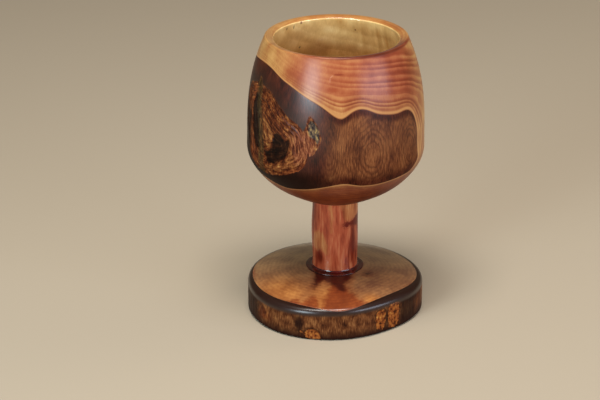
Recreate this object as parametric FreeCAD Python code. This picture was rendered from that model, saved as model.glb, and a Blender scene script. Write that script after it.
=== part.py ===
# Three-piece wooden communion chalice: a bowl, a stem and a foot made from lengths of one fruit tree.
#
# The bowl is turned from a short log a little thinner than the bowl is wide. Where the turned surface
# passes outside the log's wood it runs through the bark, so a patch of bark stays in the bowl's side.
# The foot is a slice across a thicker log with its bark left on all round. The stem is a peeled branch
# with a round tenon at each end. Dark resin holds both tenons and stands in a ring on top of the foot.
#
# Millimetres, +Z up. The origin is on the table, below the centre of the stem. Angles go round from the
# front (-Y) towards +X. The directions of an outline are in degrees up from straight outwards.

import FreeCAD, Part

import math
import os

from FreeCAD import Vector

# ---- foot ----
foot_radius = 40.0  # mean radius of the slice, bark included
foot_edge_height = 14.6  # where the domed top would meet the side, before that edge is rounded
foot_height = 20.0  # at the flat seat under the stem
foot_top_round = 2.8
foot_bottom_chamfer = 1.0
foot_hollow_radius = 31.0  # shallow hollow underneath, so that the foot stands on a ring
foot_hollow_depth = 1.3

# Outline of the slice: angle, how far its edge stands off the mean radius.
foot_edge = [
    (-180, -0.1),
    (-145, 0.2),
    (-112, 0.4),
    (-84, 0.2),
    (-58, 0.9),
    (-33, 1.2),
    (-8, 0.2),
    (15, -0.9),
    (41, -1.8),
    (66, -0.5),
    (88, 0.8),
    (115, 1.0),
    (148, 0.4),
]

# Wood of the foot's log: angle, how far its edge stands off the mean radius.
foot_log = [
    (-180, -2.3),
    (-145, -2.4),
    (-112, -1.6),
    (-84, -2.4),
    (-59, -2.6),
    (-37, -2.8),
    (-19, -2.4),
    (-5, -1.0),
    (10, -1.4),
    (27, -4.2),
    (45, -5.4),
    (61, -4.5),
    (84, -2.2),
    (115, -2.0),
    (148, -1.7),
]

# ---- stem ----
stem_length = 34.2  # between the foot's seat and the bowl's seat, glue lines included
stem_foot_radius = 10.4  # just above the rounded lower arris
stem_radius = 10.65  # at its thickest
stem_swell_height = 17.0  # how high that is above the foot's seat
stem_top_radius = 10.4
stem_foot_round = 1.3
tenon_radius = 6.0
top_tenon_length = 9.0
bottom_tenon_length = 10.0
tenon_chamfer = 0.8

# ---- bowl ----
bowl_height = 77.0
bowl_seat_margin = 1.1  # flat left round the stem's end, under the bowl
seat_slope = 21.5  # direction the outline leaves that flat
hip_inset, hip_height, hip_slope = 1.9, 19.2, 59.0  # how far inside the belly, how high, which way
belly_radius, belly_height = 40.0, 35.0  # widest
shoulder_inset, shoulder_height, shoulder_slope = 2.8, 61.6, 103.5
rim_radius, rim_slope = 31.9, 113.5
rim_wall = 3.9  # across to the inner edge
rim_outer_round = 0.9
rim_drop, rim_drop_slope = 1.0, 213  # how far the rim rolls down to its inner edge, its direction there
rim_inner_trim = 0.5  # how far each way from that edge its small rounding starts
belly_wall = 6.1
hollow_height = 47.0  # where the hollow is widest
mouth_slope = 101.7  # direction of the hollow's side at the mouth
floor_thickness = 14.0
corner_inset, corner_rise, corner_slope = 9.3, 6.0, 42.0  # where the floor turns up into the side

# Wood of the bowl's log: angle, depth of the wood's surface inside the belly radius at the bowl's seat,
# and the same at the rim. Below zero, the wood reaches past the belly and no bark is left there.
bowl_log = [
    (-172, -1.6, -1.2),
    (-150, -1.0, 0.0),
    (-130, -0.3, 1.9),
    (-110, 0.3, 3.9),
    (-87, 0.9, 5.0),
    (-62, 1.2, 5.5),
    (-50, 1.8, 4.9),
    (-39, 2.7, 4.0),
    (-30, 3.1, 2.7),
    (-21, 3.1, 2.0),
    (-10, 2.3, 1.5),
    (-1, 1.9, 0.6),
    (8, 1.5, 0.7),
    (18, 1.5, 1.3),
    (29, 1.3, 0.9),
    (44, 1.2, 0.4),
    (60, 1.0, 0.0),
    (69, 0.1, -0.2),
    (80, -1.0, -1.0),
    (102, -1.9, -1.7),
    (130, -2.1, -1.9),
    (158, -1.9, -1.7),
]

# ---- glue joints ----
glue_line = 0.15
end_gap = 0.5  # pocket of resin past the end of each tenon
collar_width = 2.7  # ring of resin on the foot, out from the stem
collar_margin = 0.3  # bare seat left round that ring
collar_edge_height = 0.35
collar_edge_slope = 172  # direction of its section inwards from that edge
collar_rise = 1.3  # height of the resin where it meets the stem
collar_stem_slope = 100  # direction of its section there

# ---- levels and radii that follow from the sizes above ----
bowl_base = foot_height + stem_length
rim_level = bowl_base + bowl_height
stem_low = foot_height + glue_line
stem_high = bowl_base - glue_line
mortise_radius = tenon_radius + glue_line
foot_mortise_floor = stem_low - bottom_tenon_length - end_gap
bowl_mortise_roof = stem_high + top_tenon_length + end_gap
collar_radius = stem_radius + collar_width
foot_seat_radius = collar_radius + collar_margin
bowl_seat_radius = stem_top_radius + bowl_seat_margin
overshoot = 5.0  # how far the bodies used for cutting run past what they cut
nearly_zero = 1e-6

axis = Vector(0, 0, 1)
origin = Vector(0, 0, 0)


# ---- lines, arcs and bodies ----
def section_point(radius, height):
    """A point of a half section."""
    return Vector(radius, 0, height)


def section_direction(degrees):
    """A direction in a half section, up from straight outwards."""
    return Vector(math.cos(math.radians(degrees)), 0, math.sin(math.radians(degrees)))


def round_point(radius, angle, height):
    """A point at an angle in degrees from the front towards +X."""
    turn = math.radians(angle)
    return Vector(radius * math.sin(turn), -radius * math.cos(turn), height)


def line(start, end):
    return Part.LineSegment(start, end).toShape()


def arc_leaving(start, direction, end):
    """The arc that leaves its start in this direction, or the line where that points at its end."""
    half_turn = direction.getAngle(end - start)
    if half_turn < nearly_zero:
        return line(start, end)
    middle = (start + end) * 0.5
    corner = start + direction * ((end - start).Length / 2 / math.cos(half_turn))
    bulge = (corner - middle) * (math.cos(half_turn) / (1 + math.cos(half_turn)))
    return Part.Arc(start, middle + bulge, end).toShape()


def two_arcs(start, leaving, end, arriving):
    """Two arcs, each tangent to the other, from one point and direction to another."""
    across = end - start
    both = leaving + arriving
    spread = 2 * (1 - leaving.dot(arriving))
    pull = across.dot(both)
    if spread < nearly_zero:
        reach = across.dot(across) / (4 * across.dot(arriving))
    else:
        reach = (math.sqrt(pull**2 + spread * across.dot(across)) - pull) / spread
    meeting = (start + end + (leaving - arriving) * reach) * 0.5
    return [arc_leaving(start, leaving, meeting), arc_leaving(end, arriving * -1, meeting)]


def smooth_path(stations):
    """Tangent arcs through the (radius, height, direction) stations of a half section."""
    edges = []
    for (radius, height, slope), (next_radius, next_height, next_slope) in zip(stations, stations[1:]):
        start = section_point(radius, height)
        end = section_point(next_radius, next_height)
        edges += two_arcs(start, section_direction(slope), end, section_direction(next_slope))
    return edges


def lines_through(*corners):
    """Straight edges through the (radius, height) corners of a half section."""
    points = [section_point(*corner) for corner in corners]
    return [line(start, end) for start, end in zip(points, points[1:])]


def closed_outline(radii, height):
    """A closed wire of tangent arcs through (angle, radius) pairs."""
    points = [round_point(radius, angle, height) for angle, radius in radii]
    count = len(points)
    directions = []
    for place in range(count):
        along = points[(place + 1) % count] - points[place - 1]
        along.normalize()
        directions.append(along)
    edges = []
    for place in range(count):
        after = (place + 1) % count
        edges += two_arcs(points[place], directions[place], points[after], directions[after])
    return Part.Wire(Part.__sortEdges__(edges))


def closed_curve(radii, height):
    """A smooth closed wire through (angle, radius) pairs."""
    points = [round_point(radius, angle, height) for angle, radius in radii]
    curve = Part.BSplineCurve()
    curve.interpolate(Points=points, PeriodicFlag=True)
    return Part.Wire([curve.toShape()])


def turned(edges):
    """The solid of revolution about the chalice's axis, from the edges of its half section."""
    wire = Part.Wire(Part.__sortEdges__(edges))
    return Part.Face(wire).revolve(origin, axis, 360)


def cylinder(radius, low, high):
    return Part.makeCylinder(radius, high - low, Vector(0, 0, low))


def extruded(wire, height):
    return Part.Face(wire).extrude(Vector(0, 0, height))


def split_off_bark(whole, wood):
    """What of a piece lies inside its log's wood, and what lies outside it as one solid."""
    bark = max(whole.cut(wood).Solids, key=lambda solid: solid.Volume)
    return whole.cut(bark), bark


# ---- foot ----
def ball_through(radius_a, height_a, radius_b, height_b):
    """Centre height and radius of the ball on the axis whose surface passes through two circles."""
    gap = 2 * (height_a - height_b)
    centre = (radius_a**2 + height_a**2 - radius_b**2 - height_b**2) / gap
    return centre, math.hypot(radius_a, height_a - centre)


def edges_between(shape, low, high):
    return [edge for edge in shape.Edges if low < edge.BoundBox.ZMin and edge.BoundBox.ZMax < high]


def foot_whole():
    """The foot with its bark: domed, its upper arris rounded, hollowed underneath and bored."""
    edge = [(angle, foot_radius + stand) for angle, stand in foot_edge]
    blank = extruded(closed_outline(edge, 0), foot_height)
    dome_centre, dome_radius = ball_through(foot_seat_radius, foot_height, foot_radius, foot_edge_height)
    body = blank.common(Part.makeSphere(dome_radius, Vector(0, 0, dome_centre)))
    half_way_up = foot_edge_height / 2
    on_the_dome = (foot_edge_height + foot_height) / 2
    body = body.makeFillet(foot_top_round, edges_between(body, half_way_up, on_the_dome))
    body = body.makeChamfer(foot_bottom_chamfer, edges_between(body, -overshoot, half_way_up))
    body = body.cut(Part.makeCone(foot_hollow_radius, 0, foot_hollow_depth))
    return body.cut(cylinder(mortise_radius, foot_mortise_floor, foot_height + overshoot))


def foot_log_wood():
    """The wood of the foot's log, inside its bark, longer than the foot at both ends."""
    radii = [(angle, foot_radius + stand) for angle, stand in foot_log]
    return extruded(closed_outline(radii, -overshoot), foot_height + 2 * overshoot)


# ---- stem ----
def stem():
    """The peeled branch, a little thicker in the middle, with a round tenon at each end."""
    arris_radius = stem_foot_radius - stem_foot_round
    arris_level = stem_low + stem_foot_round
    low_end = stem_low - bottom_tenon_length
    high_end = stem_high + top_tenon_length
    edges = smooth_path(
        [
            (stem_foot_radius, arris_level, 90),
            (stem_radius, foot_height + stem_swell_height, 90),
            (stem_top_radius, stem_high, 90),
        ]
    )
    edges.append(
        arc_leaving(
            section_point(arris_radius, stem_low),
            section_direction(0),
            section_point(stem_foot_radius, arris_level),
        )
    )
    edges += lines_through(
        (stem_top_radius, stem_high),
        (tenon_radius, stem_high),
        (tenon_radius, high_end - tenon_chamfer),
        (tenon_radius - tenon_chamfer, high_end),
        (0, high_end),
        (0, low_end),
        (tenon_radius - tenon_chamfer, low_end),
        (tenon_radius, low_end + tenon_chamfer),
        (tenon_radius, stem_low),
        (arris_radius, stem_low),
    )
    return turned(edges)


# ---- bowl ----
def short_of(radius, height, slope, distance):
    """The station this far back along its own direction."""
    turn = math.radians(slope)
    return (radius - distance * math.cos(turn), height - distance * math.sin(turn), slope)


def bowl_turned():
    """The bowl as it leaves the lathe, bored for the stem's tenon."""
    rim_setback = rim_outer_round * math.tan(math.radians(180 - rim_slope) / 2)
    mouth_radius = rim_radius - rim_wall
    hollow_radius = belly_radius - belly_wall
    inner_edge = (mouth_radius, rim_level - rim_drop)
    mouth = short_of(*inner_edge, mouth_slope, rim_inner_trim)
    floor = bowl_base + floor_thickness
    outside = [
        (bowl_seat_radius, bowl_base, seat_slope),
        (belly_radius - hip_inset, bowl_base + hip_height, hip_slope),
        (belly_radius, bowl_base + belly_height, 90),
        (belly_radius - shoulder_inset, bowl_base + shoulder_height, shoulder_slope),
        short_of(rim_radius, rim_level, rim_slope, rim_setback),
        (rim_radius - rim_setback, rim_level, 180),
        short_of(*inner_edge, rim_drop_slope, rim_inner_trim),
        (*mouth[:2], mouth_slope + 180),
    ]
    inside = [
        (0, floor, 0),
        (hollow_radius - corner_inset, floor + corner_rise, corner_slope),
        (hollow_radius, bowl_base + hollow_height, 90),
        mouth,
    ]
    edges = smooth_path(outside) + smooth_path(inside)
    edges += lines_through((0, floor), (0, bowl_base), (bowl_seat_radius, bowl_base))
    return turned(edges).cut(cylinder(mortise_radius, bowl_base - overshoot, bowl_mortise_roof))


def bowl_log_wood():
    """The wood of the bowl's log, inside its bark, longer than the bowl at both ends."""

    def outline(share):
        radii = []
        for angle, low_depth, high_depth in bowl_log:
            depth = low_depth + (high_depth - low_depth) * share
            radii.append((angle, belly_radius - depth))
        return closed_curve(radii, bowl_base + bowl_height * share)

    spare = overshoot / bowl_height
    return Part.makeLoft([outline(-spare), outline(1 + spare)], True, True)


# ---- resin ----
def foot_joint_resin(stem_solid):
    """Resin in the foot's mortise, under the stem's end and in the ring that stands round it."""
    filling = cylinder(mortise_radius, foot_mortise_floor, foot_height)
    ring_top = foot_height + collar_rise
    ring_edge = foot_height + collar_edge_height
    edges = smooth_path(
        [
            (collar_radius, ring_edge, collar_edge_slope),
            (stem_foot_radius, ring_top, collar_stem_slope),
        ]
    )
    edges += lines_through(
        (stem_foot_radius, ring_top),
        (0, ring_top),
        (0, foot_height),
        (collar_radius, foot_height),
        (collar_radius, ring_edge),
    )
    return filling.fuse(turned(edges)).removeSplitter().cut(stem_solid)


def bowl_joint_resin(stem_solid):
    """Resin over the stem's upper end and round its tenon, in the bowl's mortise."""
    film = cylinder(stem_top_radius, stem_high, bowl_base)
    filling = cylinder(mortise_radius, stem_high, bowl_mortise_roof)
    return film.fuse(filling).removeSplitter().cut(stem_solid)


foot_wood, foot_bark = split_off_bark(foot_whole(), foot_log_wood())
bowl_wood, bowl_bark = split_off_bark(bowl_turned(), bowl_log_wood())
stem_wood = stem()

pieces = {
    "foot": foot_wood,
    "foot_bark": foot_bark,
    "foot_joint_resin": foot_joint_resin(stem_wood),
    "stem": stem_wood,
    "bowl_joint_resin": bowl_joint_resin(stem_wood),
    "bowl": bowl_wood,
    "bowl_bark": bowl_bark,
}

os.makedirs("parts", exist_ok=True)
for name, shape in pieces.items():
    shape.exportStep("parts/" + name + ".step")
    print(name, len(shape.Solids), "solid, valid:", shape.isValid(), "volume:", round(shape.Volume, 1))
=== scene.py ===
import bpy
import numpy as np
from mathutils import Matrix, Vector


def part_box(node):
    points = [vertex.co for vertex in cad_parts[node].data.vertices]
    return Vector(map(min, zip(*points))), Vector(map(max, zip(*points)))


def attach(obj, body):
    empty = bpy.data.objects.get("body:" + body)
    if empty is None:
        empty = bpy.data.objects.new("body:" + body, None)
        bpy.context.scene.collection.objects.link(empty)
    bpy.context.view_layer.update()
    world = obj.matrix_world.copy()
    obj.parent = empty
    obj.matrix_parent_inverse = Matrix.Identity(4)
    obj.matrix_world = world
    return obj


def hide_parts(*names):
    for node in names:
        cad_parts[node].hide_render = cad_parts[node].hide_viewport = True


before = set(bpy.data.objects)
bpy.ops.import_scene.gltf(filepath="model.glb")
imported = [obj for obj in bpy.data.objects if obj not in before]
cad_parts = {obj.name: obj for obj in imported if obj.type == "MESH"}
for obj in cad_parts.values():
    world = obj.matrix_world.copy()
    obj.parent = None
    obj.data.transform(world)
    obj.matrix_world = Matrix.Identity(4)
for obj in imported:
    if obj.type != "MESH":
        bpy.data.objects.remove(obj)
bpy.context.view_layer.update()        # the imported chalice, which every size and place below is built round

perMetre = 1000.0        # shapes are worked out in millimetres, and put into the meshes in metres
print("frame loaded:", sorted(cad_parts))


def linear(hexColour):        # an sRGB hex value as the linear colour that a socket takes
    parts = np.array([int(hexColour[i:i + 2], 16) / 255 for i in (1, 3, 5)])
    parts = np.where(parts <= 0.04045, parts / 12.92, ((parts + 0.055) / 1.055) ** 2.4)
    return (*parts.tolist(), 1.0)


# settings go to sockets, properties or a ramp's stops
def addNode(tree, kind, settings=None, links=None):
    node = tree.nodes.new("ShaderNode" + kind)
    for key, value in (settings or {}).items():
        if key == "ramp":
            while len(node.color_ramp.elements) < len(value):
                node.color_ramp.elements.new(0.5)
            for stop, (place, colour) in zip(node.color_ramp.elements, value):
                stop.position = place
                stop.color = linear(colour) if isinstance(colour, str) else (colour, colour, colour, 1.0)
        elif isinstance(key, int) or key in node.inputs:
            node.inputs[key].default_value = value
        else:
            setattr(node, key, value)
    for key, source in (links or {}).items():
        if isinstance(source, bpy.types.Node):
            source = next(output for output in source.outputs if output.enabled)
        tree.links.new(source, node.inputs[key])
    return node


def eased(low, high, value):        # 0 below low, 1 above high, and an S between them
    share = np.clip((value - low) / (high - low), 0, 1)
    return share * share * (3 - 2 * share)


# 1 at the middle of an oval patch, falling to 0 past its rim
def spot(angle, height, centre, size, edge):
    reach = np.hypot((angle - centre[0]) / size[0], (height - centre[1]) / size[1])
    return 1 - eased(1 - edge, 1 + edge, reach)


def spots(angle, height, places):        # one array for each place, which is its strength and what spot takes
    return [strength * spot(angle, height, *place) for strength, *place in places]


def allRound(columns):        # angles of a piece's columns, in degrees, as one row
    return np.linspace(-180, 180, columns + 1)[None, :-1]


def shares(steps):        # even shares of a way, as one column that leaves out its start
    return np.linspace(0, 1, steps + 1)[1:, None]


# Smooth random hills from 0 to 1: every point of a lattice has a height from a fixed sine hash, and what lies
# between takes an eased blend of the four round it. A period makes the first direction close on itself
def hills(x, y, seed, period=None):
    column, row = np.floor(x), np.floor(y)
    u, v = eased(0, 1, x - column), eased(0, 1, y - row)

    def heightOf(i, j):
        i = i if period is None else np.mod(i, period)
        wave = np.sin(i * 127.1 + j * 311.7 + seed * 74.7) * 43758.5453
        return wave - np.floor(wave)

    low = heightOf(column, row) * (1 - u) + heightOf(column + 1, row) * u
    high = heightOf(column, row + 1) * (1 - u) + heightOf(column + 1, row + 1) * u
    return low * (1 - v) + high * v


# A closed curve through (angle, value) pairs as a cubic spline: the slopes that keep its bend continuous are
# the answer to one set of linear equations, and each span is then a cubic of its two ends and slopes
def roundCurve(angles, values):
    angles, values = np.array(angles, float), np.array(values, float)
    gap = np.diff(np.append(angles, angles[0] + 360))
    rise = np.diff(np.append(values, values[0])) / gap
    count = len(angles)
    system = np.zeros((count, count))
    place = np.arange(count)
    system[place, place] = 2 * (gap + np.roll(gap, 1))
    system[place, (place - 1) % count] += gap
    system[place, (place + 1) % count] += np.roll(gap, 1)
    slope = np.linalg.solve(system, 3 * (gap * np.roll(rise, 1) + np.roll(gap, 1) * rise))

    def at(angle):
        turned = np.mod(angle - angles[0], 360) + angles[0]
        span = np.clip(np.searchsorted(angles, turned, side="right") - 1, 0, count - 1)
        after = (span + 1) % count
        share = (turned - angles[span]) / gap[span]
        bend = (slope[span] - rise[span]) * (1 - share) - (slope[after] - rise[span]) * share
        straight = values[span] + (values[after] - values[span]) * share
        return straight + gap[span] * share * (1 - share) * bend

    return at


# Millimetres inside a closed outline of (angle, millimetres) corners, and below zero outside it: the distance
# to the nearest of its short straight sides, with the sign from how many of them a level ray crosses. Degrees
# count as millimetres round a girth, and Catmull-Rom blending rounds the corners
def outlineDistance(angle, height, corners, girth):
    perDegree = np.pi / 180 * girth
    tiny = 1e-9
    corners = np.array(corners, float) * (perDegree, 1)
    before, after, later = np.roll(corners, 1, 0), np.roll(corners, -1, 0), np.roll(corners, -2, 0)
    t = np.linspace(0, 1, 6)[:-1, None, None]        # each side in five
    curve = 0.5 * (2 * corners + (after - before) * t
                   + (2 * before - 5 * corners + 4 * after - later) * t ** 2
                   + (3 * corners - before - 3 * after + later) * t ** 3)
    start = curve.transpose(1, 0, 2).reshape(-1, 2)
    end = np.roll(start, -1, 0)
    side = end - start
    x, y = (angle * perDegree)[..., None], (height * np.ones_like(angle))[..., None]
    along = ((x - start[:, 0]) * side[:, 0] + (y - start[:, 1]) * side[:, 1]) / (side ** 2).sum(1)
    along = np.clip(along, 0, 1)
    distance = np.hypot(x - start[:, 0] - along * side[:, 0], y - start[:, 1] - along * side[:, 1]).min(-1)
    crosses = (start[:, 1] > y) != (end[:, 1] > y)
    slope = side[:, 0] / np.where(np.abs(side[:, 1]) < tiny, tiny, side[:, 1])
    crossed = (crosses & (x < start[:, 0] + (y - start[:, 1]) * slope)).sum(-1) % 2
    return np.where(crossed == 1, distance, -distance)


# the same for several outlines, of which the nearest counts
def insideAny(angle, height, outlines, girth):
    return np.max([outlineDistance(angle, height, corners, girth) for corners in outlines], 0)


def heading(degrees):        # a direction in a half section, in degrees up from straight outwards
    return np.array([np.cos(np.radians(degrees)), np.sin(np.radians(degrees))])


# A circle's arc that leaves one point in a given direction and ends at another: start + radius * (direction *
# sin + side * (1 - cos)) over an even run of angles, where side is the direction turned a quarter to the left
def arcPoints(start, leaving, end, step):
    across = end - start
    side = np.array([-leaving[1], leaving[0]])
    away = across @ side
    if abs(away) < 1e-9:
        count = max(1, int(np.ceil(np.linalg.norm(across) / step)))
        return np.linspace(start, end, count + 1)
    radius = across @ across / (2 * away)
    turn = 2 * np.arctan2(away, across @ leaving)
    angle = np.linspace(0, turn, max(2, int(np.ceil(abs(radius * turn) / step))) + 1)[:, None]
    return start + radius * (leaving * np.sin(angle) + side * (1 - np.cos(angle)))


# Two arcs tangent to each other, from one point and direction to the next, through the stations in turn
def smoothSection(stations, step):
    points = [np.array([stations[0][:2]], float)]
    for (*start, leaving), (*end, arriving) in zip(stations, stations[1:]):
        start, end = np.array(start, float), np.array(end, float)
        leaving, arriving = heading(leaving), heading(arriving)
        across = end - start
        spread = 2 * (1 - leaving @ arriving)
        pull = across @ (leaving + arriving)
        if spread < 1e-9:
            reach = across @ across / (4 * across @ arriving)
        else:
            reach = ((pull ** 2 + spread * (across @ across)) ** 0.5 - pull) / spread
        meeting = (start + end + (leaving - arriving) * reach) / 2
        points.append(arcPoints(start, leaving, meeting, step)[1:])
        points.append(arcPoints(end, -arriving, meeting, step)[::-1][1:])
    return np.vstack(points)


# evenly spaced points along a run of straight lines, each corner kept
def straightSection(corners, step):
    corners = np.array(corners, float)
    points = [corners[:1]]
    for start, end in zip(corners, corners[1:]):
        pieces = max(1, int(np.ceil(np.linalg.norm(end - start) / step)))
        points.append(np.linspace(start, end, pieces + 1)[1:])
    return np.vstack(points)


# points round the axis, at angles in degrees from the front towards +X
def placed(radius, angle, height):
    turn = np.radians(angle)
    x, y, z = np.broadcast_arrays(radius * np.sin(turn), -radius * np.cos(turn), height)
    return np.stack([x, y, z], -1).reshape(-1, 3) / perMetre


def makePiece(name, points, faces, fields, material, nodes):
    mesh = bpy.data.meshes.new(name)
    mesh.from_pydata(points.tolist(), [], faces)
    for field, values in fields.items():
        layer = mesh.attributes.new(field, "FLOAT", "POINT")
        layer.data.foreach_set("value", np.ascontiguousarray(values, np.float32).ravel())
    mesh.polygons.foreach_set("use_smooth", np.ones(len(mesh.polygons), bool))
    mesh.materials.append(material)
    mesh.update()
    piece = bpy.data.objects.new(name, mesh)
    bpy.context.scene.collection.objects.link(piece)
    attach(piece, "root")
    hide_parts(*nodes)
    print(name, "made:", len(mesh.vertices), "points,", len(mesh.polygons), "faces")
    return piece


# A closed skin over a grid whose columns go all the way round the axis. Its rows either start and end on the
# axis, where a whole row is one point, or run round a ring's section and join up again
def turnedFaces(rows, columns, ring):
    if ring:
        index = np.arange(rows * columns).reshape(rows, columns)
        index = np.vstack([index, index[:1]])
    else:
        index = np.arange((rows - 2) * columns).reshape(rows - 2, columns) + 1
        last = (rows - 2) * columns + 1
        index = np.vstack([np.zeros((1, columns), int), index, np.full((1, columns), last)])
    beside = np.roll(index, -1, axis=1)
    quads = np.stack([index[:-1], beside[:-1], beside[1:], index[1:]], -1)
    if ring:
        return quads.reshape(-1, 4).tolist()
    start = quads[0][:, [0, 2, 3]]
    end = quads[-1][:, [0, 1, 2]]
    return start.tolist() + quads[1:-1].reshape(-1, 4).tolist() + end.tolist()


def turnedPiece(name, radius, angle, height, fields, material, nodes, ring=False):
    radius, angle, height = np.broadcast_arrays(radius, angle, height)
    rows, columns = radius.shape
    keep = slice(None) if ring else np.r_[0, columns:(rows - 1) * columns, rows * columns - 1]
    points = placed(radius, angle, height)[keep]
    fields = {field: np.broadcast_to(values, radius.shape).reshape(-1)[keep]
              for field, values in fields.items()}
    return makePiece(name, points, turnedFaces(rows, columns, ring), fields, material, nodes)


bowlBase, rimLevel = (corner.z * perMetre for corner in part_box("bowl"))
stemBottom, stemTop = (corner.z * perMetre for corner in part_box("stem"))
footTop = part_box("foot")[1].z * perMetre

joints = {
    "tenonRadius": 6.0,
    "tenonChamfer": 0.8,
    "mortiseRadius": 6.15,
    "endGap": 0.5,        # resin past the end of each tenon
    "glueLine": 0.15,
}

bowl = {
    "seatRadius": 11.5,
    "bellyRadius": 40.0,
    # radius, height above the seat, direction of the outline there
    "outside": [(11.5, 0, 21.5), (38.1, 19.2, 59), (39.975, 35.0, 90), (37.2, 61.6, 103.5),
                (32.14, 76.46, 113.5)],
    # over the rim, which rolls down to a small rounding at its inner edge
    "rim": [(32.14, 76.46, 113.5), (31.31, 77.0, 180), (28.42, 76.27, 213), (28.1, 75.51, 281.7)],
    "inside": [(28.1, 75.51, 281.7), (33.9, 47.0, 270), (24.6, 20.0, 222), (0.0, 14.0, 180)],
    "columns": 400,
    "outsideStep": 0.7,
    "rimStep": 0.2,
    "insideStep": 1.6,
    "ringWidth": 0.34,        # the youngest growth ring, next to the bark
    "ringGain": 0.15,        # how much wider a ring is for each millimetre further in
    "bumpFade": 1.6,        # how far in a bump of the log's surface still shows in its rings
    "bumpWidth": 22,        # degrees over which the log is smoothed for the rings further in
    # good and bad years: size, pace and start of each wave
    "ringSwells": [(0.22, 1.9, 3), (0.15, 1.1, -1.5)],
    # small marks: angle, height, half width and height in millimetres, tilt, colour, in the hollow or not
    "marks": [
        (-2.4, 118.2, 3.2, 1.2, 0, "#8A3E20", False), (1.7, 124.5, 2.6, 0.42, 0, "#762C16", False),
        # the two pale marks here are a painted highlight on a small knot
        (-3.2, 123.7, 0.9, 0.2, 40, "#B47A5E", False), (-4.3, 122.2, 0.18, 1.0, 0, "#B47A5E", False),
        (18, 114.1, 0.4, 0.45, 0, "#6A2E18", False),
        (-127.8, 128.4, 0.5, 0.75, 0, "#4A2410", True), (-137.2, 128.2, 0.35, 1.1, 0, "#4A2410", True),
        (-145.2, 129.6, 0.8, 0.8, 30, "#7A3A1C", True), (-147.6, 116.7, 0.6, 0.5, 0, "#2A1008", True),
        (162.8, 124.8, 0.55, 0.5, 0, "#6A3A18", True),
    ],
    # darker places in the heartwood: strength, (angle, height), half sizes of the oval, softness of its edge
    "heart": [
        (1, (50, 117), (32, 13), 0.7), (0.5, (-58, 117), (14, 6), 0.8), (1.1, (-32, 119), (11, 6), 0.8),
        (0.8, (44, 106), (22, 6), 0.8),
    ],
}

# The wood of the bowl's log: angle, how deep its surface lies inside the belly at the seat, and at the rim
bowlLog = [
    (-172, -1.6, -1.2), (-150, -1.0, 0.0), (-130, -0.3, 1.9), (-110, 0.3, 3.9), (-87, 1.9, 4.9),
    (-62, 2.8, 5.3), (-50, 4.0, 4.7), (-39, 5.3, 3.5), (-30, 4.8, 2.8), (-21, 3.9, 2.1), (-10, 2.3, 1.6),
    (-3, 1.35, 1.2), (4, 0.7, 1.1), (9, 0.65, 1.5), (15, 1.3, 1.6), (21, 1.8, 1.25), (27, 2.15, 0.65),
    (35, 2.1, 0.35), (44, 1.8, 0.35), (53, 1.5, 0.5), (58, 1.3, 0.25), (63, 0.35, 0.05), (69, -0.4, -0.5),
    (80, -1.1, -1.7), (102, -1.9, -2.2), (130, -2.1, -2.1), (158, -1.9, -1.7),
]
logAngles, *logDepths = zip(*bowlLog)
lowDepth, highDepth = (roundCurve(logAngles, depths) for depths in logDepths)


# where wood ends and bark starts: the belly less a depth that changes evenly
def logRadius(angle, height):
    share = (height - bowlBase) / (rimLevel - bowlBase)
    return bowl["bellyRadius"] - lowDepth(angle) * (1 - share) - highDepth(angle) * share


def aboveSeat(stations):
    return [(station[0], station[1] + bowlBase, station[2]) for station in stations]


outsideSection = smoothSection(aboveSeat(bowl["outside"]), bowl["outsideStep"])


def turnedRadius(height):        # the lathe's outline, read off by height
    return np.interp(height, outsideSection[:, 1], outsideSection[:, 0])


# How many rings lie between the bark and a place in the wood, each wider than the last. The log's own bumps
# die out inwards, so the place's depth goes over from the log's to that of a smoothed log
def growthRings(angle, height, depth):
    offsets = np.linspace(-40, 40, 17)
    weights = np.exp(-(offsets / bowl["bumpWidth"]) ** 2)
    calm = sum(logRadius(angle + offset, height) * weight for offset, weight in zip(offsets, weights))
    calm = calm / weights.sum()
    calmDepth = depth + calm - logRadius(angle, height)
    depth = calmDepth + (depth - calmDepth) * np.exp(-np.maximum(depth, 0) / bowl["bumpFade"])
    depth = np.maximum(depth, -0.4)        # past the bark's edge the rings soon stop
    rings = np.log1p(bowl["ringGain"] * depth / bowl["ringWidth"]) / bowl["ringGain"]
    return rings + sum(size * np.sin(pace * rings + start) for size, pace, start in bowl["ringSwells"])


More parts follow.
